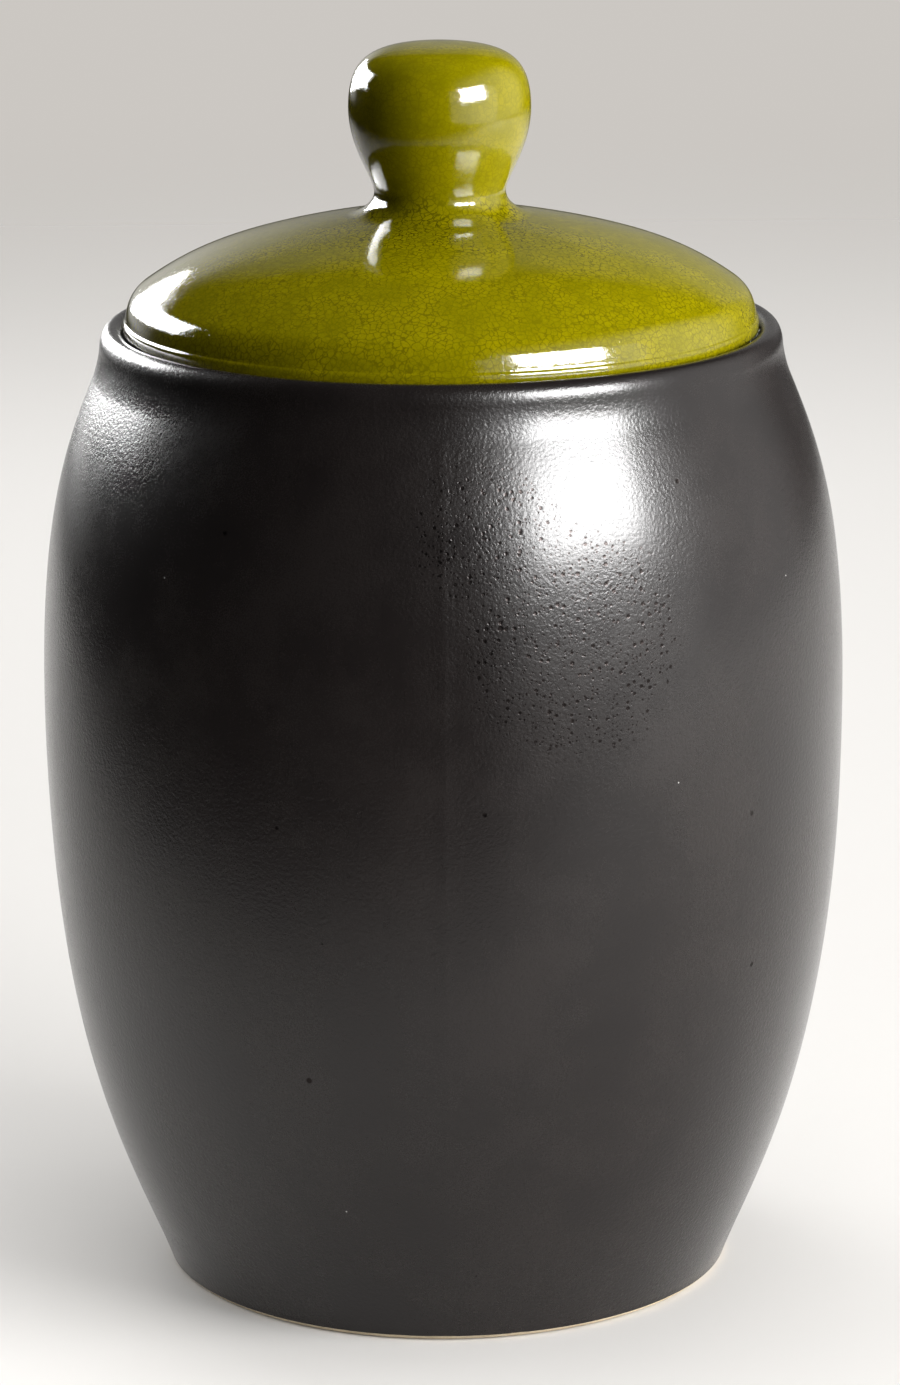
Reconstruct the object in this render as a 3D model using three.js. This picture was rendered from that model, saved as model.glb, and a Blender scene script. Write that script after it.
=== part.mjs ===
// Stoneware kitchen canister: a bulbous jar, a domed lid cast in one with its knob, and a soft sealing ring.
// Millimetres, +Z up. The origin is the centre of the foot, on the surface that the jar stands on.
import * as THREE from "three";

// Jar, outside
const bellyRadius = 90;
const bellyHeight = 131;
const footRadius = 64.2;
const footRounding = 1.5;
const footFlareDegrees = 21;
const rimHeight = 216.5;
const lipRadius = 75.7;
const lipRise = 6.6;
const lipThickness = 4.9;
const lipRoundHeight = 4.3;
const neckFillet = 1.3;
const shoulderLeanDegrees = 30.5;

// Jar, inside and underneath
const jarWall = 5.5;
const floorThickness = 7;
const floorCove = 14;
const footRingWidth = 8;
const footRecess = 2.5;
const recessSlope = 2;

// Seat for the lid: the lip dishes down to a level ledge around the throat
const seatDepth = 3.3;
const dishWidth = 5.5;
const ledgeWidth = 6.5;
const ledgeThickness = 5.8;
const throatRounding = 1.2;
const ledgeCove = 8;

// Sealing ring: a collar under the brim, and a sleeve with fins around the flange
const fitGap = 0.3;
const collarThickness = 2.4;
const collarWidth = 4.5;
const sleeveThickness = 1.8;
const sleeveLength = 9.5;
const finReach = 2.2;
const finRoot = 1.4;
const finTip = 0.6;
const finPitch = 2.2;

// Lid
const rimGap = 2.65;
const lidWall = 5;
const edgeDrop = 1.4;
const edgeRounding = 1.2;
const edgeBand = 1.4;
const edgeStep = 0.45;
const edgeStepRise = 0.9;
const lidSideRise = 6.6;
const lidSideInset = 3.35;
const lidSideLeanDegrees = 8.8;
const domeRise = 15.7;
const domeEdgeDegrees = 35.6;
const domeTopDegrees = 10.8;
const flangeWall = 4.4;
const flangeBead = 1.4;
const flangeBeadHeight = 2.6;
const flangeRounding = 1;
const flangeFillet = 4;

// Knob
const knobFootRadius = 20.8;
const waistRadius = 14.6;
const waistRise = 5.3;
const knobRadius = 20.1;
const knobWidestRise = 18.5;
const crownRise = 14.3;

// How far each curve keeps its starting direction, as a share of its own height or width
const fullness = {
  wallFromFoot: 0.18, wallToBelly: 0.61, shoulderFromBelly: 0.35, shoulderToNeck: 0.25,
  sideFromEdge: 0.59, sideToDome: 0.26, domeFromSide: 0.285, domeToKnob: 0.56,
  filletFromDome: 0.34, filletToWaist: 0.57,
  flareFromWaist: 0.17, flareToWidest: 0.48, crownFromWidest: 0.79, crownToTop: 0.75, dish: 0.5,
};

// Facets around the axis
const turnFacets = 48;

// Heights and radii that follow from the sizes above
const footHeight = footRounding;
const footFlare = THREE.MathUtils.degToRad(footFlareDegrees);
const shoulderLean = THREE.MathUtils.degToRad(shoulderLeanDegrees);
const neckHeight = rimHeight - lipRise;
const lipRounding = lipThickness / 2;
const crestRadius = lipRadius - lipRounding;
const ledgeHeight = rimHeight - seatDepth;
const ledgeRadius = crestRadius - dishWidth;
const throatRadius = ledgeRadius - ledgeWidth;
const floorHeight = footRecess + floorThickness;

const finRadius = throatRadius - fitGap;
const sleeveRadius = finRadius - finReach;
const sleeveInnerRadius = sleeveRadius - sleeveThickness;
const collarRadius = throatRadius + collarWidth;
const collarBottom = ledgeHeight + fitGap;
const collarTop = collarBottom + collarThickness;
const sleeveBottom = collarTop - sleeveLength;

const brimHeight = collarTop + fitGap;
const lidRadius = crestRadius - rimGap;
const flangeRadius = sleeveInnerRadius - fitGap;
const flangeInnerRadius = flangeRadius - flangeWall;
const beadRadius = flangeRadius + flangeBead;
const beadTop = sleeveBottom - fitGap;
const flangeBottom = beadTop - flangeBeadHeight;
const brimTurnRadius = collarRadius + 2 * fitGap;
const edgeBottom = brimHeight - edgeDrop;
const bandTop = edgeBottom + edgeRounding + edgeBand;
const creaseHeight = bandTop + edgeStepRise;
const domeEdgeHeight = creaseHeight + lidSideRise;
const domeTop = domeEdgeHeight + domeRise;
const waistHeight = domeTop + waistRise;
const widestHeight = waistHeight + knobWidestRise;
const lidTop = widestHeight + crownRise;

const point = (radius, height) => new THREE.Vector2(radius, height);

// A point some way from another, at an angle up from the outward direction
function away(from, distance, angle) {
  return point(from.x + distance * Math.cos(angle), from.y + distance * Math.sin(angle));
}

function curvePoints(curve, steps) {
  return curve.getPoints(steps);
}

// A corner rounded off between two points, with the corner itself as the curve's handle
function roundedCorner(start, corner, end, steps) {
  return curvePoints(new THREE.QuadraticBezierCurve(start, corner, end), steps);
}

// The other face of a wall: points of a curve moved square to it, to the left of its run
function wallPoint(curve, thickness, t) {
  const along = curve.getTangent(t);
  const at = curve.getPoint(t);
  return point(at.x - along.y * thickness, at.y + along.x * thickness);
}

function wallPoints(curve, thickness, steps, from, to) {
  const points = [];
  for (let step = 0; step <= steps; step += 1) {
    points.push(wallPoint(curve, thickness, from + ((to - from) * step) / steps));
  }
  return points;
}

// Where the other face of a wall reaches a height or a radius: halving between two ends of the curve
function whereWall(curve, thickness, reached) {
  let before = 0;
  let after = 1;
  for (let halving = 0; halving < 40; halving += 1) {
    const middle = (before + after) / 2;
    if (reached(wallPoint(curve, thickness, middle))) after = middle;
    else before = middle;
  }
  return after;
}

// A profile turned about the Z axis, without points that repeat
function turned(name, profile, material) {
  const points = profile.filter((at, index) => index === 0 || at.distanceTo(profile[index - 1]) > 1e-4);
  const geometry = new THREE.LatheGeometry(points, turnFacets);
  geometry.rotateX(Math.PI / 2);
  const mesh = new THREE.Mesh(geometry, material);
  mesh.name = name;
  return mesh;
}

// Outer curves of the jar, from the foot to the belly and from the belly to the neck
const wallRise = bellyHeight - footHeight;
const shoulderRise = neckHeight - bellyHeight;
const footEdge = point(footRadius, footHeight);
const belly = point(bellyRadius, bellyHeight);
const neckCorner = point(lipRadius, neckHeight);
const shoulderAngle = Math.PI / 2 + shoulderLean;
const shoulderEnd = away(neckCorner, -neckFillet, shoulderAngle);
const wallCurve = new THREE.CubicBezierCurve(
  footEdge,
  away(footEdge, wallRise * fullness.wallFromFoot, Math.PI / 2 - footFlare),
  point(bellyRadius, bellyHeight - wallRise * fullness.wallToBelly),
  belly,
);
const shoulderCurve = new THREE.CubicBezierCurve(
  belly,
  point(bellyRadius, bellyHeight + shoulderRise * fullness.shoulderFromBelly),
  away(shoulderEnd, -shoulderRise * fullness.shoulderToNeck, shoulderAngle),
  shoulderEnd,
);

function jarProfile() {
  const ringOuter = footRadius - footHeight * Math.tan(footFlare);
  const ringInner = ringOuter - footRounding - footRingWidth;
  const crest = point(crestRadius, rimHeight);
  const ledge = point(ledgeRadius, ledgeHeight);
  const ledgeUnderside = ledgeHeight - ledgeThickness;
  const coveTop = whereWall(shoulderCurve, jarWall, (at) => at.y > ledgeUnderside - ledgeCove);
  const coveEnd = wallPoint(shoulderCurve, jarWall, coveTop);
  const floorTurn = whereWall(wallCurve, jarWall, (at) => at.y > floorHeight + floorCove);
  const floorTurnPoint = wallPoint(wallCurve, jarWall, floorTurn);
  const floorCorner = point(floorTurnPoint.x - floorCove * Math.tan(footFlare), floorHeight);
  const dishHandle = dishWidth * fullness.dish;
  const lipCurve = new THREE.EllipseCurve(
    crestRadius, rimHeight - lipRoundHeight, lipRounding, lipRoundHeight, 0, Math.PI / 2);
  return [
    // underside, recessed inside the foot ring
    point(0, footRecess),
    point(ringInner - recessSlope, footRecess),
    point(ringInner, 0),
    ...roundedCorner(point(ringOuter - footRounding, 0), point(ringOuter, 0), footEdge, 2),
    // outside wall and shoulder, then the lip, a bead on a short upright neck
    ...curvePoints(wallCurve, 11),
    ...curvePoints(shoulderCurve, 7),
    ...roundedCorner(shoulderEnd, neckCorner, point(lipRadius, neckHeight + neckFillet), 2),
    ...curvePoints(lipCurve, 5),
    // dished seat and ledge
    ...curvePoints(
      new THREE.CubicBezierCurve(
        crest, point(crest.x - dishHandle, crest.y), point(ledge.x + dishHandle, ledge.y), ledge), 6),
    point(throatRadius + throatRounding, ledgeHeight),
    point(throatRadius, ledgeHeight - throatRounding),
    point(throatRadius, ledgeUnderside + throatRounding),
    point(throatRadius + throatRounding, ledgeUnderside),
    // inside wall, down to the floor
    ...roundedCorner(
      point(coveEnd.x - ledgeCove, ledgeUnderside), point(coveEnd.x, ledgeUnderside), coveEnd, 3),
    ...wallPoints(shoulderCurve, jarWall, 5, coveTop, 0),
    ...wallPoints(wallCurve, jarWall, 7, 1, floorTurn),
    ...roundedCorner(floorTurnPoint, floorCorner, point(floorCorner.x - floorCove, floorHeight), 3),
    point(0, floorHeight),
  ];
}

// Outer curves of the lid, from its edge up the side, over the dome, the fillet and the knob to the top
const crease = point(lidRadius - edgeStep, creaseHeight);
const domeEdge = point(crease.x - lidSideInset, domeEdgeHeight);
const knobFoot = point(knobFootRadius, domeTop);
const waist = point(waistRadius, waistHeight);
const widest = point(knobRadius, widestHeight);
const domeWidth = domeEdge.x - knobFoot.x;
const lidSideAngle = Math.PI / 2 + THREE.MathUtils.degToRad(lidSideLeanDegrees);
const domeEdgeAngle = Math.PI - THREE.MathUtils.degToRad(domeEdgeDegrees);
const domeTopAngle = Math.PI - THREE.MathUtils.degToRad(domeTopDegrees);
const lidSideCurve = new THREE.CubicBezierCurve(
  crease,
  away(crease, lidSideRise * fullness.sideFromEdge, lidSideAngle),
  away(domeEdge, -lidSideRise * fullness.sideToDome, domeEdgeAngle),
  domeEdge,
);
const domeCurve = new THREE.CubicBezierCurve(
  domeEdge,
  away(domeEdge, domeWidth * fullness.domeFromSide, domeEdgeAngle),
  away(knobFoot, -domeWidth * fullness.domeToKnob, domeTopAngle),
  knobFoot,
);
const filletCurve = new THREE.CubicBezierCurve(
  knobFoot,
  away(knobFoot, (knobFootRadius - waistRadius) * fullness.filletFromDome, domeTopAngle),
  point(waistRadius, waistHeight - waistRise * fullness.filletToWaist),
  waist,
);
const flareCurve = new THREE.CubicBezierCurve(
  waist,
  point(waistRadius, waistHeight + knobWidestRise * fullness.flareFromWaist),
  point(knobRadius, widestHeight - knobWidestRise * fullness.flareToWidest),
  widest,
);
const crownCurve = new THREE.CubicBezierCurve(
  widest,
  point(knobRadius, widestHeight + crownRise * fullness.crownFromWidest),
  point(knobRadius * fullness.crownToTop, lidTop),
  point(0, lidTop),
);

function lidProfile() {
  const flangeTurn = whereWall(domeCurve, lidWall, (at) => at.x < flangeInnerRadius - flangeFillet);
  const flangeTurnPoint = wallPoint(domeCurve, lidWall, flangeTurn);
  const flangeCorner = point(flangeInnerRadius, flangeTurnPoint.y);
  return [
    // hollow of the knob and underside of the dome
    ...wallPoints(crownCurve, lidWall, 6, 1, 0),
    ...wallPoints(flareCurve, lidWall, 4, 1, 0),
    ...wallPoints(filletCurve, lidWall, 3, 1, 0),
    ...wallPoints(domeCurve, lidWall, 4, 1, flangeTurn),
    // flange, with a bead that keeps the sealing ring on
    ...roundedCorner(flangeTurnPoint, flangeCorner, point(flangeInnerRadius, flangeCorner.y - flangeFillet), 3),
    point(flangeInnerRadius, flangeBottom + flangeRounding),
    point(flangeInnerRadius + flangeRounding, flangeBottom),
    point(beadRadius - flangeRounding, flangeBottom),
    point(beadRadius, flangeBottom + flangeRounding),
    point(beadRadius, beadTop),
    point(flangeRadius, beadTop),
    point(flangeRadius, brimHeight),
    // brim, which drops around the sealing ring to the upright edge band
    point(brimTurnRadius, brimHeight),
    point(brimTurnRadius + edgeDrop, edgeBottom),
    ...roundedCorner(
      point(lidRadius - edgeRounding, edgeBottom), point(lidRadius, edgeBottom),
      point(lidRadius, edgeBottom + edgeRounding), 3),
    ...roundedCorner(
      point(lidRadius, bandTop), point(lidRadius, bandTop + edgeStepRise / 2), crease, 2),
    // side, dome, fillet and knob
    ...curvePoints(lidSideCurve, 5),
    ...curvePoints(domeCurve, 7),
    ...curvePoints(filletCurve, 4),
    ...curvePoints(flareCurve, 6),
    ...curvePoints(crownCurve, 9),
  ];
}

function sealProfile() {
  const throatMiddle = ledgeHeight - ledgeThickness / 2;
  const fin = (height) => [
    point(sleeveRadius, height - finRoot / 2),
    point(finRadius, height - finTip / 2),
    point(finRadius, height + finTip / 2),
    point(sleeveRadius, height + finRoot / 2),
  ];
  return [
    point(sleeveInnerRadius, sleeveBottom),
    point(sleeveRadius, sleeveBottom),
    ...fin(throatMiddle - finPitch / 2),
    ...fin(throatMiddle + finPitch / 2),
    point(sleeveRadius, collarBottom),
    point(collarRadius, collarBottom),
    point(collarRadius, collarTop),
    point(sleeveInnerRadius, collarTop),
    point(sleeveInnerRadius, sleeveBottom),
  ];
}

const darkGlaze = new THREE.MeshStandardMaterial({ color: 0x2a2724, roughness: 0.42, metalness: 0 });
const greenGlaze = new THREE.MeshStandardMaterial({ color: 0x8f8c1e, roughness: 0.12, metalness: 0 });
const silicone = new THREE.MeshStandardMaterial({ color: 0x1c1c1c, roughness: 0.6, metalness: 0 });

const canister = new THREE.Group();
const lidGroup = new THREE.Group();
lidGroup.add(turned("lid", lidProfile(), greenGlaze), turned("lid_seal", sealProfile(), silicone));
canister.add(turned("jar", jarProfile(), darkGlaze), lidGroup);

export default canister;
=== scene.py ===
from math import cos, pi, radians, sin, tan

import bmesh
import bpy
from mathutils import Matrix, Vector, noise
from mathutils.geometry import interpolate_bezier


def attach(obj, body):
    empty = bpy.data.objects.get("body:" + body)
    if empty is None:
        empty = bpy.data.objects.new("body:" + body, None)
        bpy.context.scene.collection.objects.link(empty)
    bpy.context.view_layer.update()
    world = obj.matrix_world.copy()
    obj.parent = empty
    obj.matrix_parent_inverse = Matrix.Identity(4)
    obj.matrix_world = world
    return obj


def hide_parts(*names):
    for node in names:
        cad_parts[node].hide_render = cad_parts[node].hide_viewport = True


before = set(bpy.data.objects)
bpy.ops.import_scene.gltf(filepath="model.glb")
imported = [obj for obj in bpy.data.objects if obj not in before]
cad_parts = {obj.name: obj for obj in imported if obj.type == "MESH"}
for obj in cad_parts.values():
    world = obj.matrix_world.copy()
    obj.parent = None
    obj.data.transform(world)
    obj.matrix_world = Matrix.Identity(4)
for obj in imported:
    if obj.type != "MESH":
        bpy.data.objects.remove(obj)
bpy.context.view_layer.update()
scene = bpy.context.scene
mm = 0.001
print("frame loaded:", ", ".join(sorted(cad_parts)))


# Camera, as the canister was photographed

photoView = {
    "place": (0, -1.1629, 0.4275),
    "downDegrees": 14.281,
    "rollDegrees": -0.417,
    "lens": 137.87,
    "sensorWidth": 36,
    "sideShift": 0.00454,
    "nearest": 0.01,
}


def makeCamera(view):
    data = bpy.data.cameras.new("photoCamera")
    data.sensor_width = view["sensorWidth"]
    data.lens = view["lens"]
    data.shift_x = view["sideShift"]
    data.clip_start = view["nearest"]
    camera = bpy.data.objects.new("photoCamera", data)
    tilt = Matrix.Rotation(radians(90 - view["downDegrees"]), 4, "X")
    roll = Matrix.Rotation(radians(view["rollDegrees"]), 4, "Z")
    camera.matrix_world = Matrix.Translation(view["place"]) @ tilt @ roll
    scene.collection.objects.link(camera)
    scene.camera = camera


makeCamera(photoView)
print("camera set")


# Profile tools: points are (radius, height) in millimetres

cornerPull = 0.6  # how far a rounding's handles reach towards its corner
quarterPull = 0.5523  # the same for a true quarter round
samePoint = 0.002  # points closer than this are merged
onLine = 0.01  # points closer than this to the middle lie on the seam


def spot(radius, height):
    return Vector((radius, height))


def away(start, distance, degrees):
    return start + distance * Vector((cos(radians(degrees)), sin(radians(degrees))))


def sweep(start, startHandle, endHandle, end, steps):
    return interpolate_bezier(start, startHandle, endHandle, end, steps + 1)


def roundOff(start, corner, end, steps):
    return sweep(start, start.lerp(corner, cornerPull), end.lerp(corner, cornerPull), end, steps)


# The other face of a wall: the curve moved square to its run, to the left of it
def wallBehind(points, thickness):
    last = len(points) - 1
    moved = []
    for i, point in enumerate(points):
        along = (points[min(i + 1, last)] - points[max(i - 1, 0)]).normalized()
        moved.append(point + thickness * Vector((-along.y, along.x)))
    return moved


# A profile turned on the wheel, starting at the front
def turnOnWheel(points, steps, closed=False):
    bm = bmesh.new()
    verts = [bm.verts.new((0, -point.x * mm, point.y * mm)) for point in points]
    pairs = list(zip(verts, verts[1:]))
    if closed:
        pairs.append((verts[-1], verts[0]))
    edges = [bm.edges.new(pair) for pair in pairs]
    bmesh.ops.spin(bm, geom=verts + edges, cent=(0, 0, 0), axis=(0, 0, 1), angle=2 * pi,
                   steps=steps, use_merge=True)
    bmesh.ops.remove_doubles(bm, verts=bm.verts, dist=samePoint * mm)
    bmesh.ops.recalc_face_normals(bm, faces=bm.faces)
    bm.normal_update()
    return bm


# Cast ware is never quite true: slow dips and swells along the surface, none at the foot
def castUnevenly(bm, swell, length, start, footClear=0.0):
    for vert in bm.verts:
        share = 1.0
        if footClear:
            share = min(1.0, max(0.0, (vert.co.z / mm - footClear) / footClear))
        lift = noise.noise(vert.co / (length * mm) + Vector(start))
        vert.co += vert.normal * lift * swell * mm * share


def finishPiece(name, bm, material, body, node, sharpDegrees=45):
    mesh = bpy.data.meshes.new(name)
    bm.to_mesh(mesh)
    bm.free()
    mesh.shade_smooth()
    mesh.set_sharp_from_angle(angle=radians(sharpDegrees))
    piece = bpy.data.objects.new(name, mesh)
    scene.collection.objects.link(piece)
    mesh.materials.append(material)
    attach(piece, body)
    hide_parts(node)
    print(name, "made with", len(mesh.polygons), "faces")
    return piece


# Node tools

class Wiring:
    def __init__(self, tree):
        self.tree = tree

    def add(self, kind, inputs=None, **settings):
        node = self.tree.nodes.new(kind)
        for key, value in settings.items():
            setattr(node, key, value)
        for key, value in (inputs or {}).items():
            self.feed(node.inputs[key], value)
        return node

    def feed(self, socket, value):
        if isinstance(value, bpy.types.NodeSocket):
            self.tree.links.new(value, socket)
        else:
            socket.default_value = value

    def math(self, operation, first, second=0.0, third=0.0):
        node = self.add("ShaderNodeMath", {0: first, 1: second, 2: third}, operation=operation)
        return node.outputs[0]

    def ramp(self, value, low, high, toLow=0.0, toHigh=1.0):
        node = self.add("ShaderNodeMapRange", {
            "Value": value, "From Min": low, "From Max": high, "To Min": toLow, "To Max": toHigh,
        }, interpolation_type="SMOOTHSTEP")
        return node.outputs["Result"]

    # the colour sockets of a Mix node are inputs 6 and 7 and output 2
    def blend(self, share, first, second, kind="MIX"):
        node = self.add("ShaderNodeMix", data_type="RGBA", blend_type=kind)
        self.feed(node.inputs["Factor"], share)
        self.feed(node.inputs[6], first)
        self.feed(node.inputs[7], second)
        return node.outputs[2]

    def cloud(self, vector, size, detail=2.0, rough=0.5):
        node = self.add("ShaderNodeTexNoise", {
            "Vector": vector, "Scale": 1 / (size * mm), "Detail": detail, "Roughness": rough,
        })
        return node.outputs[0]

    def stretch(self, vector, scale=(1, 1, 1), location=(0, 0, 0)):
        node = self.add("ShaderNodeMapping", {"Vector": vector, "Scale": scale, "Location": location})
        return node.outputs[0]

    # heights added up by their weights, in the order given
    def addUp(self, heights, weights):
        total = 0.0
        for kind, height in heights.items():
            total = self.math("MULTIPLY_ADD", height, weights[kind], total)
        return total

    def bump(self, shader, height, depth):
        node = self.add("ShaderNodeBump", {"Height": height, "Distance": depth * mm, "Strength": 1.0})
        self.feed(shader.inputs["Normal"], node.outputs[0])


def newGroup(name, inputs, outputs):
    tree = bpy.data.node_groups.new(name, "ShaderNodeTree")
    for label, kind, value in inputs:
        socket = tree.interface.new_socket(name=label, in_out="INPUT", socket_type=kind)
        if value is not None:
            socket.default_value = value
    for label, kind in outputs:
        tree.interface.new_socket(name=label, in_out="OUTPUT", socket_type=kind)
    wires = Wiring(tree)
    return tree, wires, wires.add("NodeGroupInput").outputs, wires.add("NodeGroupOutput").inputs


def placeGroup(wires, tree, inputs):
    node = wires.add("ShaderNodeGroup", node_tree=tree)
    for key, value in inputs.items():
        wires.feed(node.inputs[key], value)
    return node.outputs


def newMaterial(name):
    material = bpy.data.materials.new(name)
    material.use_nodes = True
    wires = Wiring(material.node_tree)
    shader = material.node_tree.nodes["Principled BSDF"]
    coords = wires.add("ShaderNodeTexCoord").outputs["Object"]
    return material, wires, shader, coords


floatSocket = "NodeSocketFloat"
colorSocket = "NodeSocketColor"
vectorSocket = "NodeSocketVector"


# Round cells strewn over the surface, their spacing in millimetres
def strewn(wires, given):
    scale = wires.math("DIVIDE", 1 / mm, given["Spacing"])
    return wires.add(
        "ShaderNodeTexVoronoi", {"Vector": given["Vector"], "Scale": scale, "Randomness": 1.0}).outputs


# Pinholes that gas leaves in a glaze: small round dips, not all the same size
def makePinholeGroup():
    tree, wires, given, out = newGroup(
        "pinholes",
        [("Vector", vectorSocket, None), ("Spacing", floatSocket, 2.0), ("Reach", floatSocket, 0.3)],
        [("Pit", floatSocket)])
    cells = strewn(wires, given)
    luck = wires.add("ShaderNodeSeparateColor", {"Color": cells["Color"]}).outputs[0]
    reach = wires.math("MULTIPLY", given["Reach"], wires.ramp(luck, 0.05, 0.85, 0.35, 1.0))
    near = wires.math("DIVIDE", cells["Distance"], reach)
    wires.feed(out["Pit"], wires.ramp(near, 0.25, 1.0, 1.0, 0.0))
    return tree


# Specks of dust or lint fired into the glaze or lying on it
def makeSpeckGroup():
    tree, wires, given, out = newGroup(
        "specks",
        [("Vector", vectorSocket, None), ("Spacing", floatSocket, 9.0), ("Size", floatSocket, 0.2)],
        [("Speck", floatSocket)])
    cells = strewn(wires, given)
    edge = wires.math("DIVIDE", given["Size"], given["Spacing"])
    near = wires.math("DIVIDE", cells["Distance"], edge)
    wires.feed(out["Speck"], wires.ramp(near, 0.6, 1.0, 1.0, 0.0))
    return tree


# Unglazed clay, as it shows where a piece stood in the kiln
def makeClayGroup():
    tree, wires, given, out = newGroup(
        "bareClay",
        [("Vector", vectorSocket, None), ("Pale", colorSocket, (0.62, 0.52, 0.37, 1)),
         ("Dark", colorSocket, (0.40, 0.31, 0.20, 1))],
        [("Color", colorSocket), ("Height", floatSocket)])
    grit = wires.cloud(given["Vector"], 0.5, 3.0, 0.65)
    stain = wires.cloud(given["Vector"], 9.0, 3.0, 0.6)
    stained = wires.ramp(stain, 0.45, 0.8, 0.0, 0.5)
    share = wires.math("MULTIPLY_ADD", wires.ramp(grit, 0.35, 0.7), 0.35, stained)
    wires.feed(out["Color"], wires.blend(share, given["Pale"], given["Dark"]))
    wires.feed(out["Height"], grit)
    return tree


pinholes = makePinholeGroup()
specks = makeSpeckGroup()
bareClay = makeClayGroup()
clayRoughness = 0.85

# Sizes in the looks are millimetres; a pit has its spacing, and its reach as a share of that
darkGlazeLook = {
    "tone": (0.0095, 0.0076, 0.0073, 1),
    "warmTone": (0.0140, 0.0112, 0.0104, 1),
    "cloudSize": 28.0,
    "streakSize": 1.6, "streakRun": 0.045, "streakShade": (0.98, 1.02),
    "dust": (0.42, 0.41, 0.40, 1), "dustSpacing": 13.0, "dustSize": 0.22,
    "roughness": (0.22, 0.30), "cloudyShare": 0.3, "grainyShare": 0.7,
    "film": 0.5, "filmRoughness": 0.2,
    "ior": 1.31,
    "clayTop": 1.25, "clayWander": 0.5, "clayWave": 6.0, "claySoftness": 0.06,
    "peel": 0.75,
    "grain": 0.3,
    "pit": (1.5, 0.42),
    "finePit": (0.85, 0.41),
    "bigPit": (14.0, 0.065),
    "crowdSize": 13.0, "crowding": (0.75, 1.0),
    "pitted": [
        {"place": (9, -83, 187), "reach": (9, 21)},
        {"place": (28, -83, 163), "reach": (16, 31)},
    ],
    "pittedElsewhere": 0.1,
    "dullFrom": (0.08, 0.45), "dullMost": 0.85, "finePitDullness": 0.8,
    "bumpDepth": 0.06,
    "relief": {
        "peel": 1.6, "grain": 0.25, "pits": -0.85, "finePits": -0.4, "bigPits": -0.9,
        "streaks": 0.04, "clay": 1.5,
    },
}


def makeDarkGlaze(look):
    material, wires, shader, coords = newMaterial("darkGlaze")
    height = wires.add("ShaderNodeSeparateXYZ", {"Vector": coords}).outputs["Z"]
    cloudy = wires.ramp(wires.cloud(coords, look["cloudSize"], 4.0, 0.6), 0.3, 0.72)
    streaks = wires.cloud(wires.stretch(coords, (1, 1, look["streakRun"])), look["streakSize"], 3.0, 0.6)
    dust = placeGroup(wires, specks, {
        "Vector": coords, "Spacing": look["dustSpacing"], "Size": look["dustSize"],
    })["Speck"]
    peel = wires.cloud(coords, look["peel"], 2.0, 0.55)
    grain = wires.cloud(coords, look["grain"], 1.0, 0.5)
    clay = placeGroup(wires, bareClay, {"Vector": coords})

    # Pits crowd in two patches at the front and are few elsewhere
    crowd = wires.ramp(wires.cloud(coords, look["crowdSize"], 2.0, 0.5), 0.35, 0.65, *look["crowding"])
    pitted = look["pittedElsewhere"]
    for patch in look["pitted"]:
        near, far = patch["reach"]
        gap = wires.add(
            "ShaderNodeVectorMath", {0: coords, 1: Vector(patch["place"]) * mm}, operation="DISTANCE")
        within = wires.ramp(gap.outputs["Value"], near * mm, far * mm, 1.0, 0.0)
        pitted = wires.math("MAXIMUM", pitted, within)

    def holes(kind):
        spacing, reach = look[kind]
        return placeGroup(wires, pinholes, {"Vector": coords, "Spacing": spacing, "Reach": reach})["Pit"]

    pits = wires.math("MULTIPLY", holes("pit"), wires.math("MULTIPLY", crowd, pitted))
    finePits = wires.math("MULTIPLY", holes("finePit"), pitted)
    bigPits = holes("bigPit")

    # The glaze stops at an uneven line just above the foot
    lowest = look["clayTop"] - look["clayWander"] / 2
    line = wires.math(
        "MULTIPLY_ADD", wires.cloud(coords, look["clayWave"]), look["clayWander"] * mm, lowest * mm)
    soft = look["claySoftness"] * mm
    bare = wires.ramp(wires.math("SUBTRACT", height, line), -soft, soft, 1.0, 0.0)

    tone = wires.blend(cloudy, look["tone"], look["warmTone"])
    shade = wires.ramp(streaks, 0.3, 0.7, *look["streakShade"])
    grey = wires.add("ShaderNodeCombineColor", {0: shade, 1: shade, 2: shade}).outputs[0]
    tone = wires.blend(1.0, tone, grey, "MULTIPLY")
    tone = wires.blend(dust, tone, look["dust"])
    wires.feed(shader.inputs["Base Color"], wires.blend(bare, tone, clay["Color"]))

    uneven = wires.math(
        "MULTIPLY_ADD", cloudy, look["cloudyShare"], wires.math("MULTIPLY", grain, look["grainyShare"]))
    satin = wires.ramp(uneven, 0.3, 0.7, *look["roughness"])
    rough = wires.math("MAXIMUM", satin, wires.math("MULTIPLY", bare, clayRoughness))
    wires.feed(shader.inputs["Roughness"], rough)

    # A pinhole swallows light: black metal has no gloss of its own
    deepest = wires.math("MAXIMUM", pits, bigPits)
    deepest = wires.math("MAXIMUM", deepest, wires.math("MULTIPLY", finePits, look["finePitDullness"]))
    dull = wires.ramp(deepest, *look["dullFrom"], 0.0, look["dullMost"])
    wires.feed(shader.inputs["Metallic"], dull)
    filmless = wires.math("MAXIMUM", dull, bare)
    wires.feed(shader.inputs["Coat Weight"], wires.ramp(filmless, 0.0, 1.0, look["film"], 0.0))
    shader.inputs["Coat Roughness"].default_value = look["filmRoughness"]
    shader.inputs["Coat IOR"].default_value = look["ior"]
    shader.inputs["IOR"].default_value = look["ior"]

    relief = wires.addUp({
        "peel": peel, "grain": grain, "pits": pits, "finePits": finePits, "bigPits": bigPits,
        "streaks": streaks, "clay": wires.math("MULTIPLY", clay["Height"], bare),
    }, look["relief"])
    wires.bump(shader, relief, look["bumpDepth"])
    return material


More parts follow.
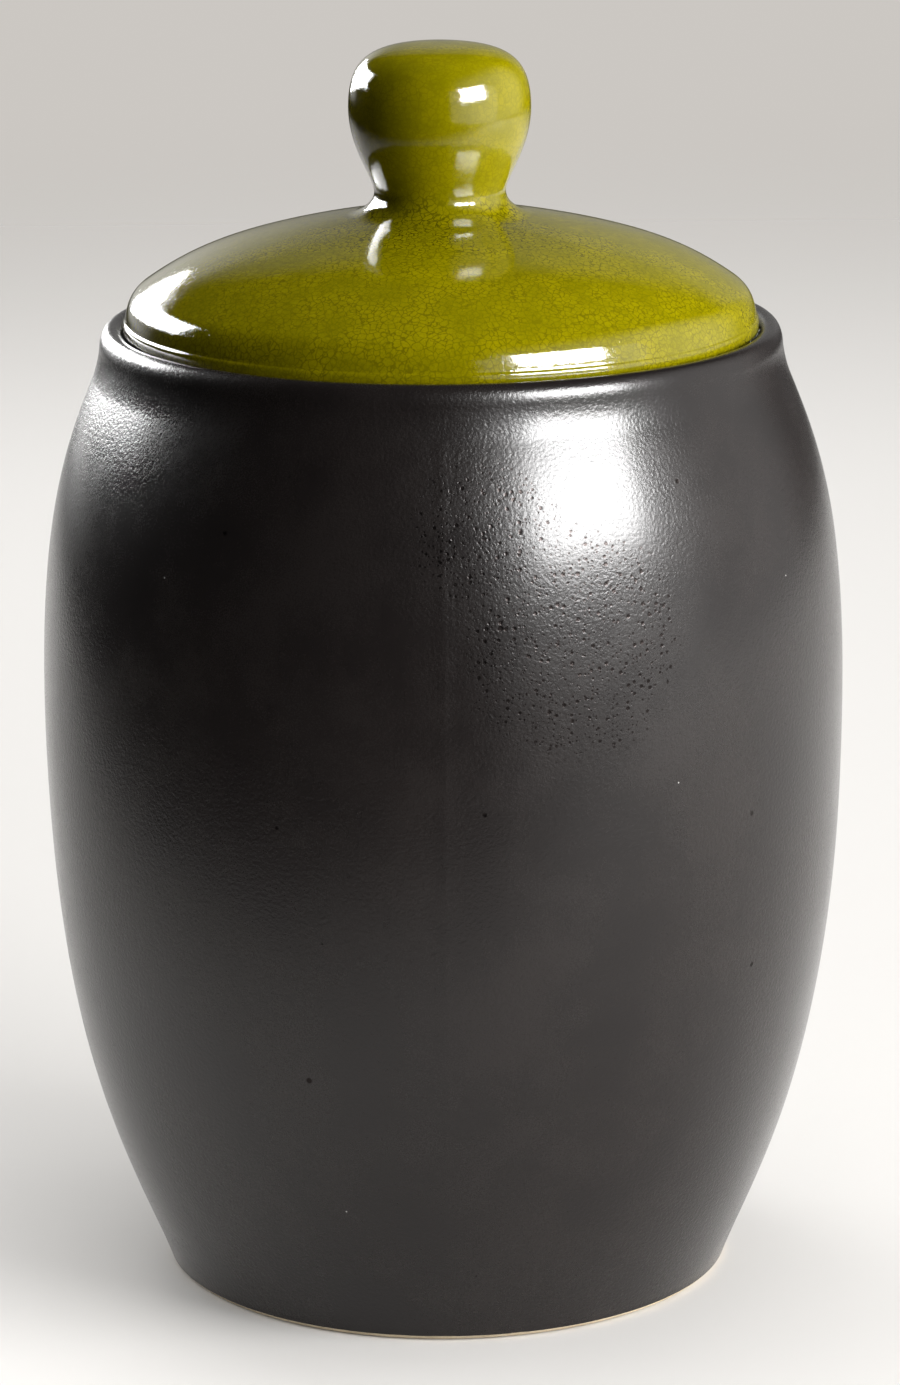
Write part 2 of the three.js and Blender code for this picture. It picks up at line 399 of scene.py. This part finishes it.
greenGlazeLook = {
    "deep": (0.188, 0.166, 0.0002, 1),
    "lime": (0.252, 0.217, 0.0005, 1), "mottleSize": 7.0,
    "fleck": (0.32, 0.29, 0.002, 1), "fleckSize": 0.8, "fleckShare": 0.3,
    "craze": (0.055, 0.050, 0.001, 1),
    "cell": 1.45, "crack": 0.1,
    "fineCell": 0.85, "fineCrack": 0.075, "fineShare": 0.42,
    "patchSize": 7.0, "patchStrength": (0.5, 1.0),
    "wander": 1.1, "wanderSize": 1.3,
    "neck": (238.0, 247.0),
    "crazeBelowNeck": 0.6, "crazeAboveNeck": 0.28, "crazeInPool": 0.38, "poolReach": 0.9,
    "pit": (3.4, 0.14),
    "roughness": (0.03, 0.06),
    "ior": 1.52,
    "clayTop": 204.9, "claySoftness": 0.1,
    "slowSize": 6.5,
    "rippleSize": 1.1,
    "bumpDepth": 0.03,
    "relief": {"slow": 1.6, "ripple": 0.7, "craze": -0.12, "pits": -0.7, "clay": 2.0},
}


def makeGreenGlaze(look):
    material, wires, shader, coords = newMaterial("greenCrackleGlaze")
    height = wires.add("ShaderNodeSeparateXYZ", {"Vector": coords}).outputs["Z"]
    drift = wires.add(
        "ShaderNodeTexNoise", {"Vector": coords, "Scale": 1 / (look["wanderSize"] * mm), "Detail": 2.0})
    offset = wires.add(
        "ShaderNodeVectorMath", {0: drift.outputs["Color"], 1: (0.5, 0.5, 0.5)}, operation="SUBTRACT")
    wander = [look["wander"] * mm] * 3
    warped = wires.add(
        "ShaderNodeVectorMath", {0: offset.outputs[0], 1: wander, 2: coords},
        operation="MULTIPLY_ADD").outputs[0]
    mottle = wires.ramp(wires.cloud(coords, look["mottleSize"], 4.0, 0.62), 0.32, 0.70)
    flecks = wires.ramp(wires.cloud(warped, look["fleckSize"], 3.0, 0.6), 0.52, 0.74)
    patches = wires.ramp(
        wires.cloud(coords, look["patchSize"], 2.0, 0.55), 0.32, 0.64, *look["patchStrength"])
    clay = placeGroup(wires, bareClay, {"Vector": coords})
    spacing, reach = look["pit"]
    pits = placeGroup(wires, pinholes, {"Vector": coords, "Spacing": spacing, "Reach": reach})["Pit"]
    clayTop = look["clayTop"]
    soft = look["claySoftness"]
    bare = wires.ramp(height, (clayTop - soft) * mm, (clayTop + soft) * mm, 1.0, 0.0)

    # Two nets of hair cracks, stronger where the glaze pooled around the knob's foot
    def net(cell, width):
        cells = wires.add("ShaderNodeTexVoronoi", {"Vector": warped, "Scale": 1 / (cell * mm)},
                          feature="DISTANCE_TO_EDGE")
        return wires.ramp(cells.outputs["Distance"], width * 0.3, width, 1.0, 0.0)

    neckBottom, neckTop = look["neck"]
    fromNeck = wires.math("ABSOLUTE", wires.math("SUBTRACT", height, (neckBottom + neckTop) / 2 * mm))
    poolReach = (neckTop - neckBottom) * look["poolReach"] * mm
    pooled = wires.ramp(fromNeck, 1.0 * mm, poolReach, look["crazeInPool"], 0.0)
    coarse = wires.math("MULTIPLY", net(look["cell"], look["crack"]), patches)
    fine = wires.math("MULTIPLY", net(look["fineCell"], look["fineCrack"]), look["fineShare"])
    craze = wires.math("MAXIMUM", coarse, fine)
    strength = wires.ramp(
        height, neckBottom * mm, neckTop * mm, look["crazeBelowNeck"], look["crazeAboveNeck"])
    crazeShare = wires.math("MULTIPLY", craze, wires.math("ADD", pooled, strength))

    tone = wires.blend(mottle, look["deep"], look["lime"])
    tone = wires.blend(wires.math("MULTIPLY", flecks, look["fleckShare"]), tone, look["fleck"])
    tone = wires.blend(crazeShare, tone, look["craze"])
    wires.feed(shader.inputs["Base Color"], wires.blend(bare, tone, clay["Color"]))

    gloss = wires.ramp(wires.math("MAXIMUM", craze, flecks), 0.0, 1.0, *look["roughness"])
    rough = wires.math("MAXIMUM", gloss, wires.math("MULTIPLY", bare, clayRoughness))
    wires.feed(shader.inputs["Roughness"], rough)
    shader.inputs["IOR"].default_value = look["ior"]

    relief = wires.addUp({
        "slow": wires.cloud(coords, look["slowSize"], 2.0, 0.5),
        "ripple": wires.cloud(coords, look["rippleSize"], 2.0, 0.5),
        "craze": craze, "pits": pits, "clay": wires.math("MULTIPLY", clay["Height"], bare),
    }, look["relief"])
    wires.bump(shader, relief, look["bumpDepth"])
    return material


siliconeLook = {
    "tone": (0.0085, 0.0085, 0.0088, 1),
    "bloom": (0.024, 0.0235, 0.023, 1), "bloomSize": 7.0,
    "lint": (0.3, 0.3, 0.3, 1), "lintSpacing": 5.0, "lintSize": 0.16,
    "grain": 0.3,
    "roughness": (0.46, 0.62),
    "ior": 1.42,
    "bumpDepth": 0.02,
}


def makeSilicone(look):
    material, wires, shader, coords = newMaterial("softSilicone")
    bloom = wires.ramp(wires.cloud(coords, look["bloomSize"], 4.0, 0.65), 0.4, 0.75)
    grain = wires.cloud(coords, look["grain"], 2.0, 0.6)
    lint = placeGroup(wires, specks, {
        "Vector": coords, "Spacing": look["lintSpacing"], "Size": look["lintSize"],
    })["Speck"]
    tone = wires.blend(bloom, look["tone"], look["bloom"])
    wires.feed(shader.inputs["Base Color"], wires.blend(lint, tone, look["lint"]))
    wires.feed(shader.inputs["Roughness"], wires.ramp(grain, 0.3, 0.7, *look["roughness"]))
    shader.inputs["IOR"].default_value = look["ior"]
    wires.bump(shader, grain, look["bumpDepth"])
    return material


darkGlaze = makeDarkGlaze(darkGlazeLook)
greenGlaze = makeGreenGlaze(greenGlazeLook)
silicone = makeSilicone(siliconeLook)
print("materials mixed")


# Jar: a turned wall with a foot ring, a rounded lip that leans in a little and a dished seat for the lid

jarSizes = {
    "bellyRadius": 90, "bellyHeight": 131,
    "footRadius": 64.2, "footRounding": 1.5, "footFlare": 21, "wallPull": (0.18, 0.61),
    "rimHeight": 216.5, "lipRadius": 76.2, "lipRise": 8.1, "lipThickness": 5.8,
    "lipRoundHeight": 4.3, "lipLean": 4,
    "neckFillet": 3.2, "shoulderLean": 22, "shoulderPull": (0.6, 0.25),
    "wall": 5.5, "floorThickness": 7, "floorCove": 14,
    "footRing": 8, "footRecess": 2.5, "recessSlope": 2, "recessRounding": 1.5,
    "ringEdge": ((-0.9, 1.2), (-0.55, 0.7), (0.9, 0)),
    "seatDepth": 3.3, "dishWidth": 5.5, "ledgeWidth": 6.5, "ledgeThickness": 5.8,
    "throatRounding": 1.2, "ledgeCove": 8,
    "glazeRoll": 0.22, "rollWidth": 0.1, "rollRise": 0.25, "rollEnd": 0.6, "rollStep": 0.02,
    "seamWidth": 0.7, "seamRise": 0.045, "seamStart": 12, "seamEnd": 3,
    "uneven": {"swell": 0.16, "length": 46, "start": (3.1, 0.4, 7.7), "footClear": 4.0},
    "turns": 180,
}


def jarProfile(size):
    foot = spot(size["footRadius"], size["footRounding"])
    belly = spot(size["bellyRadius"], size["bellyHeight"])
    neck = spot(size["lipRadius"], size["rimHeight"] - size["lipRise"])
    wallRise = belly.y - foot.y
    shoulderRise = neck.y - belly.y
    low, high = size["wallPull"]
    wall = sweep(
        foot, away(foot, wallRise * low, 90 - size["footFlare"]),
        spot(belly.x, belly.y - wallRise * high), belly, 40)
    low, high = size["shoulderPull"]
    shoulder = sweep(
        belly, spot(belly.x, belly.y + shoulderRise * low),
        away(neck, -shoulderRise * high, 90 + size["shoulderLean"]), neck, 40)
    lipRound = size["lipThickness"] / 2
    lipHeight = size["lipRoundHeight"]
    crest = spot(size["lipRadius"] - lipRound, size["rimHeight"])
    lipLean = 90 + size["lipLean"]
    lipSide = away(neck, size["lipRise"] - lipHeight, lipLean)
    ledge = spot(crest.x - size["dishWidth"], size["rimHeight"] - size["seatDepth"])
    throat = ledge.x - size["ledgeWidth"]
    ledgeBottom = ledge.y - size["ledgeThickness"]
    edge = size["throatRounding"]
    handle = size["dishWidth"] / 2

    ringOuter = foot.x - foot.y * tan(radians(size["footFlare"]))
    ringInner = ringOuter - size["footRounding"] - size["footRing"]
    recess = size["footRecess"]
    recessEdge = ringInner - size["recessSlope"]
    ringTop, ringTurn, ringFlat = [spot(ringInner + out, up) for out, up in size["ringEdge"]]
    floorHeight = recess + size["floorThickness"]
    inner = wallBehind(wall + shoulder[1:], size["wall"])
    coveTop = ledgeBottom - size["ledgeCove"]
    floorTurn = floorHeight + size["floorCove"]
    inner = [point for point in inner if floorTurn < point.y < coveTop]
    inner.reverse()
    top = inner[0]
    lowest = inner[-1]
    floorCorner = spot(lowest.x - size["floorCove"] * tan(radians(size["footFlare"])), floorHeight)

    profile = [spot(0, recess), spot(ringInner * 0.5, recess)]
    profile += roundOff(
        spot(recessEdge - size["recessRounding"], recess), spot(recessEdge, recess), ringTop, 5)
    profile += roundOff(ringTurn, spot(ringInner, 0), ringFlat, 4)
    # bare foot, then the roll where the glaze begins
    roll = size["glazeRoll"]
    step = size["rollStep"]
    bareTop = foot.y - size["rollRise"]
    profile += roundOff(
        spot(ringOuter - size["footRounding"] - roll, 0), spot(ringOuter - roll, 0),
        spot(foot.x - roll - size["rollWidth"], bareTop), 7)
    profile += roundOff(
        spot(foot.x - roll * 0.4, bareTop + step), spot(foot.x + step, bareTop + 2 * step),
        spot(foot.x + size["rollWidth"], foot.y + size["rollRise"]), 4)
    profile += [point for point in wall if point.y > foot.y + size["rollEnd"]]
    shoulder = [point for point in shoulder[1:] if (point - neck).length > size["neckFillet"]]
    profile += shoulder
    profile += roundOff(shoulder[-1], neck, lipSide, 18)[1:-1]
    profile += sweep(
        lipSide, away(lipSide, lipHeight * quarterPull, lipLean),
        spot(crest.x + lipRound * quarterPull, crest.y), crest, 14)
    profile += sweep(crest, spot(crest.x - handle, crest.y), spot(ledge.x + handle, ledge.y), ledge, 14)[1:]
    # the ledge's edge at the throat, then back under it to the inside of the wall
    profile += roundOff(spot(throat + edge, ledge.y), spot(throat, ledge.y), spot(throat, ledge.y - edge), 5)
    profile += roundOff(
        spot(throat, ledgeBottom + edge), spot(throat, ledgeBottom), spot(throat + edge, ledgeBottom), 5)
    profile += roundOff(spot(top.x - size["ledgeCove"], ledgeBottom), spot(top.x, ledgeBottom), top, 8)
    profile += inner[1:]
    profile += roundOff(lowest, floorCorner, spot(floorCorner.x - size["floorCove"], floorHeight), 10)[1:]
    profile += [spot(floorCorner.x * 0.4, floorHeight), spot(0, floorHeight)]
    return profile


# The mould's halves met at the front and the back: a hair-thin raised line on the outside
def raiseSeam(bm, size):
    low = size["seamStart"] * mm
    high = (size["rimHeight"] - size["lipRise"] - size["seamEnd"]) * mm

    def onSeam(vert):
        outward = vert.normal.y * vert.co.y > 0
        return abs(vert.co.x) < onLine * mm and low < vert.co.z < high and outward

    seam = [edge for edge in bm.edges if all(onSeam(vert) for vert in edge.verts)]
    made = bmesh.ops.bevel(bm, geom=seam, offset=size["seamWidth"] * mm, offset_type="OFFSET", segments=2,
                           profile=0.5, affect="EDGES", material=-1, clamp_overlap=True)
    bm.normal_update()
    for vert in made["verts"]:
        if abs(vert.co.x) < onLine * mm:
            vert.co += vert.normal * size["seamRise"] * mm


def makeJar(size):
    bm = turnOnWheel(jarProfile(size), size["turns"])
    castUnevenly(bm, **size["uneven"])
    bm.normal_update()
    raiseSeam(bm, size)
    return finishPiece("jarBody", bm, darkGlaze, "jar", "jar")


makeJar(jarSizes)


# Lid: a dome with an upright edge, the knob cast in one with it, and a flange that drops into the throat

lidSizes = {
    "radius": 70.6, "brimHeight": 216.2, "brimTurn": 66.35, "edgeDrop": 1.4, "edgeRounding": 1.2,
    "edgeBand": 1.4, "edgeStep": 0.45, "edgeStepRise": 0.9,
    "bandEnd": 0.3, "bandTurn": 0.36, "bandLedge": (0.26, 0.62), "creaseTurn": (0.42, 0.78),
    "sideRise": 6.6, "sideInset": 3.35, "sideLean": 8.8, "sidePull": (0.59, 0.26),
    "domeRise": 15.7, "domeEdge": 35.6, "domeTop": 10.8, "domePull": (0.285, 0.56), "wall": 5,
    "flangeRadius": 56.65, "flangeWall": 4.4, "beadRadius": 58.05, "beadTop": 206.1,
    "flangeBottom": 203.5, "flangeRounding": 1, "flangeFillet": 4,
    "cornerRounding": 0.4, "dropRounding": 0.3,
    "knobFoot": 20.8, "waistRadius": 14.6, "waistRise": 5.3, "filletPull": (0.34, 0.57),
    "knobRadius": 20.1, "widestRise": 18.5, "flarePull": (0.17, 0.48),
    "crownRise": 14.3, "crownPull": (0.79, 0.75),
    "uneven": {"swell": 0.09, "length": 21, "start": (8.2, 5.5, 1.3)},
    "turns": 192,
}


def lidProfile(size):
    edgeBottom = size["brimHeight"] - size["edgeDrop"]
    bandTop = edgeBottom + size["edgeRounding"] + size["edgeBand"]
    crease = spot(size["radius"] - size["edgeStep"], bandTop + size["edgeStepRise"])
    domeEdge = spot(crease.x - size["sideInset"], crease.y + size["sideRise"])
    knobFoot = spot(size["knobFoot"], domeEdge.y + size["domeRise"])
    waist = spot(size["waistRadius"], knobFoot.y + size["waistRise"])
    widest = spot(size["knobRadius"], waist.y + size["widestRise"])
    top = spot(0, widest.y + size["crownRise"])
    domeWidth = domeEdge.x - knobFoot.x
    edgeAngle = 180 - size["domeEdge"]
    topAngle = 180 - size["domeTop"]
    low, high = size["sidePull"]
    side = sweep(
        crease, away(crease, size["sideRise"] * low, 90 + size["sideLean"]),
        away(domeEdge, -size["sideRise"] * high, edgeAngle), domeEdge, 20)
    low, high = size["domePull"]
    dome = sweep(
        domeEdge, away(domeEdge, domeWidth * low, edgeAngle),
        away(knobFoot, -domeWidth * high, topAngle), knobFoot, 36)
    low, high = size["filletPull"]
    fillet = sweep(
        knobFoot, away(knobFoot, (knobFoot.x - waist.x) * low, topAngle),
        spot(waist.x, waist.y - size["waistRise"] * high), waist, 16)
    low, high = size["flarePull"]
    flare = sweep(
        waist, spot(waist.x, waist.y + size["widestRise"] * low),
        spot(widest.x, widest.y - size["widestRise"] * high), widest, 20)
    low, high = size["crownPull"]
    crown = sweep(
        widest, spot(widest.x, widest.y + size["crownRise"] * low), spot(widest.x * high, top.y), top, 26)
    outside = side + dome[1:] + fillet[1:] + flare[1:] + crown[1:]

    flange = size["flangeRadius"]
    flangeInner = flange - size["flangeWall"]
    underDome = wallBehind(dome, size["wall"])
    underDome = [point for point in underDome if point.x < flangeInner - size["flangeFillet"]]
    underKnob = wallBehind(fillet[1:] + flare[1:] + crown[1:-1], size["wall"])
    profile = underDome + underKnob + [spot(0, top.y - size["wall"])]
    profile.reverse()

    # down the flange's inside, round the bead that holds the seal, and up to the brim
    turn = underDome[0]
    edge = size["flangeRounding"]
    bottom = size["flangeBottom"]
    bead = size["beadRadius"]
    beadTop = size["beadTop"]
    brim = size["brimHeight"]
    soft = size["cornerRounding"]
    profile += roundOff(
        turn, spot(flangeInner, turn.y), spot(flangeInner, turn.y - size["flangeFillet"]), 8)[1:]
    profile += roundOff(
        spot(flangeInner, bottom + edge), spot(flangeInner, bottom), spot(flangeInner + edge, bottom), 5)
    profile += roundOff(spot(bead - edge, bottom), spot(bead, bottom), spot(bead, bottom + edge), 5)
    profile += roundOff(spot(bead, beadTop - soft), spot(bead, beadTop), spot(bead - soft, beadTop), 3)
    profile += roundOff(spot(flange + soft, beadTop), spot(flange, beadTop), spot(flange, beadTop + soft), 3)
    profile += roundOff(spot(flange, brim - soft), spot(flange, brim), spot(flange + soft, brim), 3)

    # the brim drops round the sealing ring to a beaded edge
    radius = size["radius"]
    band = size["edgeRounding"]
    slant = size["dropRounding"]
    dropStart = size["brimTurn"]
    dropEnd = dropStart + size["edgeDrop"]
    ledgeIn, ledgeUp = size["bandLedge"]
    creaseIn, creaseUp = size["creaseTurn"]
    bandLedge = spot(radius - ledgeIn, bandTop + ledgeUp)
    profile += roundOff(
        spot(dropStart - soft, brim), spot(dropStart, brim), spot(dropStart + slant, brim - slant), 4)
    profile += roundOff(
        spot(dropEnd - slant, edgeBottom + slant), spot(dropEnd, edgeBottom),
        spot(dropEnd + soft, edgeBottom), 4)
    profile += roundOff(
        spot(radius - band, edgeBottom), spot(radius, edgeBottom), spot(radius, edgeBottom + band), 8)
    profile += roundOff(
        spot(radius, bandTop - size["bandEnd"]), spot(radius, bandTop + size["bandTurn"]), bandLedge, 6)
    profile += roundOff(bandLedge, spot(radius - creaseIn, bandTop + creaseUp), crease, 4)[1:]
    profile += outside[1:]
    return profile


def makeLid(size):
    bm = turnOnWheel(lidProfile(size), size["turns"])
    castUnevenly(bm, **size["uneven"])
    return finishPiece("lidBody", bm, greenGlaze, "lid", "lid")


makeLid(lidSizes)


# Sealing ring: a collar under the brim and a sleeve with two fins round the flange

sealSizes = {
    "sleeveInner": 56.95, "sleeveOuter": 58.75, "sleeveBottom": 206.4,
    "collarRadius": 65.75, "collarBottom": 213.5, "collarTop": 215.9,
    "finRadius": 60.95, "finRoot": 1.4, "finTip": 0.6, "finPitch": 2.2, "finMiddle": 210.3,
    "softEdge": 0.22, "softenedFrom": 20,
    "turns": 144,
}


def sealProfile(size):
    inner = size["sleeveInner"]
    outer = size["sleeveOuter"]
    profile = [spot(inner, size["sleeveBottom"]), spot(outer, size["sleeveBottom"])]
    for side in (-1, 1):
        middle = size["finMiddle"] + side * size["finPitch"] / 2
        profile.append(spot(outer, middle - size["finRoot"] / 2))
        profile.append(spot(size["finRadius"], middle - size["finTip"] / 2))
        profile.append(spot(size["finRadius"], middle + size["finTip"] / 2))
        profile.append(spot(outer, middle + size["finRoot"] / 2))
    profile += [
        spot(outer, size["collarBottom"]), spot(size["collarRadius"], size["collarBottom"]),
        spot(size["collarRadius"], size["collarTop"]), spot(inner, size["collarTop"]),
    ]
    return profile


def makeSeal(size):
    bm = turnOnWheel(sealProfile(size), size["turns"], closed=True)
    corners = [edge for edge in bm.edges if edge.calc_face_angle(0) > radians(size["softenedFrom"])]
    bmesh.ops.bevel(bm, geom=corners, offset=size["softEdge"] * mm, offset_type="OFFSET", segments=2,
                    profile=0.5, affect="EDGES", material=-1, clamp_overlap=True)
    bmesh.ops.recalc_face_normals(bm, faces=bm.faces)
    return finishPiece("lidSealRing", bm, silicone, "lid", "lid_seal")


makeSeal(sealSizes)


# Studio: a sheet of pale paper that fades out at its edges, in a dim room

floorLook = {
    "middle": (0.1, 0.6), "reach": (2.0, 2.0), "fadeFrom": 0.6, "back": (0.8, 1.9),
    "mirroredMiddle": (0.55, 1.0), "mirroredReach": (1.5, 1.72), "mirroredFadeFrom": 0.75,
    "bounce": (-0.45, 0.25),
    "fadeEnd": 0.998,
    "paper": (0.665, 0.65, 0.63, 1),
    "fleck": (0.66, 0.64, 0.62, 1), "fleckSize": 3.0, "fleckShare": 0.06,
    "roughness": 0.7,
    "sides": 96,
}


def makeFloor(look):
    bm = bmesh.new()
    bmesh.ops.create_circle(bm, cap_ends=True, segments=look["sides"], radius=1.0)
    bmesh.ops.scale(bm, vec=(*look["reach"], 1), verts=bm.verts)
    bmesh.ops.translate(bm, vec=(*look["middle"], 0), verts=bm.verts)
    mesh = bpy.data.meshes.new("paperFloor")
    bm.to_mesh(mesh)
    bm.free()
    floor = bpy.data.objects.new("paperFloor", mesh)
    scene.collection.objects.link(floor)

    material, wires, shader, coords = newMaterial("palePaper")
    grain = wires.cloud(coords, look["fleckSize"], 4.0, 0.6)
    flecked = wires.ramp(grain, 0.3, 0.7, 0.0, look["fleckShare"])
    wires.feed(shader.inputs["Base Color"], wires.blend(flecked, look["paper"], look["fleck"]))
    shader.inputs["Roughness"].default_value = look["roughness"]
    shader.inputs["Specular IOR Level"].default_value = 0.0

    def within(middle, reach, start):
        scale = (1 / reach[0], 1 / reach[1], 1)
        shift = (-middle[0] * scale[0], -middle[1] * scale[1], 0)
        fromMiddle = wires.add(
            "ShaderNodeVectorMath", {0: wires.stretch(coords, scale, shift)}, operation="LENGTH")
        return wires.ramp(fromMiddle.outputs["Value"], start, look["fadeEnd"], 1.0, 0.0)

    # the glaze mirrors only the lit part of the paper, and little light comes back from the left of it
    place = wires.add("ShaderNodeSeparateXYZ", {"Vector": coords}).outputs
    path = wires.add("ShaderNodeLightPath").outputs
    lost = wires.math(
        "MULTIPLY", path["Is Diffuse Ray"], wires.ramp(place["X"], *look["bounce"], 1.0, 0.0))
    mirrored = within(look["mirroredMiddle"], look["mirroredReach"], look["mirroredFadeFrom"])
    lit = wires.math("MULTIPLY", mirrored, wires.math("SUBTRACT", 1.0, lost))
    lit = wires.math("MAXIMUM", path["Is Camera Ray"], lit)
    fade = wires.math(
        "MULTIPLY", within(look["middle"], look["reach"], look["fadeFrom"]),
        wires.ramp(place["Y"], *look["back"], 1.0, 0.0))
    fade = wires.math("MULTIPLY", fade, lit)
    clear = wires.add("ShaderNodeBsdfTransparent")
    mix = wires.add("ShaderNodeMixShader", {0: fade, 1: clear.outputs[0], 2: shader.outputs[0]})
    wires.feed(material.node_tree.nodes["Material Output"].inputs["Surface"], mix.outputs[0])
    mesh.materials.append(material)


makeFloor(floorLook)

# Lamps stand round the aim: degrees to the side, 0 at the camera's side and more to the right, and up.
# A glow's spread and rise are degrees too: full and gone, and bottom, full, top and gone.
studio = {
    "aim": (0, 0, 0.17),
    "lamps": [
        {"name": "keyFace", "side": 44, "up": 22, "far": 1.25, "size": (0.72, 0.44),
         "glow": 60, "lights": False},
        {"name": "keyBeam", "side": 61, "up": 14, "far": 1.3, "size": (0.9, 0.6),
         "glow": 13.4, "mirrored": False},
        {"name": "keyHalo", "side": 46, "up": 10, "far": 1.35, "size": (1.65, 0.95),
         "glow": 0.95},
        {"name": "sideBeam", "side": 95, "up": 5, "far": 1.3, "size": (1.2, 0.8),
         "glow": 2.9, "mirrored": False},
        {"name": "rimBox", "side": -136, "up": 18, "far": 1.15, "size": (1.0, 0.43), "roll": 19,
         "glow": 26, "lights": False},
        {"name": "rimBeam", "side": -150, "up": 35, "far": 1.15, "size": (0.6, 0.5),
         "glow": 3.6, "mirrored": False},
    ],
    "fills": [
        {"name": "ceilingFill", "place": (0.2, 0.75, 1.95), "size": (2.2, 2.2), "glow": 2.0},
        {"name": "paperFill", "place": (-0.4, -0.3, 0.2), "size": (0.5, 0.6), "glow": 1.6},
        {"name": "frontFill", "place": (-0.1, -0.55, 0.25), "size": (1.0, 0.6), "glow": 0.9},
        {"name": "sweepFill", "place": (-0.3, 1.8, 1.5), "size": (2.0, 1.6), "glow": 0.6},
    ],
    "room": (0.006, 0.006, 0.006, 1),
    "glows": [
        {"side": 180, "up": 0, "spread": (20, 75), "rise": (-7, -2, 21, 26),
         "tone": (0.1, 0.098, 0.096, 1)},
        {"side": 176, "up": 16, "spread": (17, 27), "rise": (-7, -2, 32, 46),
         "tone": (0.17, 0.167, 0.163, 1)},
        {"side": -152, "up": 4, "spread": (4, 26), "rise": (-7, -2, 19, 24),
         "tone": (0.9, 0.895, 0.88, 1)},
        {"side": 76, "up": 8, "spread": (18, 64), "rise": (-20, -10, 35, 70),
         "tone": (1.2, 1.181, 1.161, 1)},
    ],
    "seenAround": (0.60, 0.573, 0.542, 1),
}


def toward(side, up):
    side = radians(side)
    up = radians(up)
    return Vector((sin(side) * cos(up), -cos(side) * cos(up), sin(up)))


def makeLight(lamp):
    data = bpy.data.lights.new(lamp["name"], "AREA")
    data.shape = "RECTANGLE"
    data.size, data.size_y = lamp["size"]
    data.energy = lamp["glow"] * pi * data.size * data.size_y
    light = bpy.data.objects.new(lamp["name"], data)
    scene.collection.objects.link(light)
    return light


def makeLamp(lamp, aim):
    light = makeLight(lamp)
    toLamp = toward(lamp["side"], lamp["up"])
    light.location = Vector(aim) + toLamp * lamp["far"]
    faced = toLamp.to_track_quat("Z", "Y").to_matrix()
    light.rotation_euler = (faced @ Matrix.Rotation(radians(lamp.get("roll", 0)), 3, "Z")).to_euler()
    light.visible_glossy = lamp.get("mirrored", True)
    light.visible_diffuse = lamp.get("lights", True)


# Soft light straight down that only lights the ware and the paper, and isn't mirrored in the glaze
def makeFill(lamp):
    light = makeLight(lamp)
    light.location = lamp["place"]
    light.visible_glossy = False


def makeRoom(look):
    world = bpy.data.worlds.new("dimRoom")
    world.use_nodes = True
    scene.world = world
    wires = Wiring(world.node_tree)
    background = world.node_tree.nodes["Background"]
    way = wires.add("ShaderNodeTexCoord").outputs["Generated"]
    parts = wires.add("ShaderNodeSeparateXYZ", {"Vector": way}).outputs
    lit = look["room"]
    for glow in look["glows"]:
        aimed = wires.add(
            "ShaderNodeVectorMath", {0: way, 1: toward(glow["side"], glow["up"])}, operation="DOT_PRODUCT")
        near, far = [cos(radians(angle)) for angle in glow["spread"]]
        bottom, full, top, gone = [sin(radians(angle)) for angle in glow["rise"]]
        share = wires.math("MULTIPLY", wires.ramp(aimed.outputs["Value"], far, near),
                           wires.ramp(parts["Z"], top, gone, 1.0, 0.0))
        share = wires.math("MULTIPLY", share, wires.ramp(parts["Z"], bottom, full))
        lit = wires.blend(share, lit, glow["tone"], "ADD")
    seen = wires.add("ShaderNodeLightPath").outputs["Is Camera Ray"]
    wires.feed(background.inputs["Color"], wires.blend(seen, lit, look["seenAround"]))


for lamp in studio["lamps"]:
    makeLamp(lamp, studio["aim"])
for lamp in studio["fills"]:
    makeFill(lamp)
makeRoom(studio)
scene.view_settings.view_transform = "Standard"
print("studio lit")
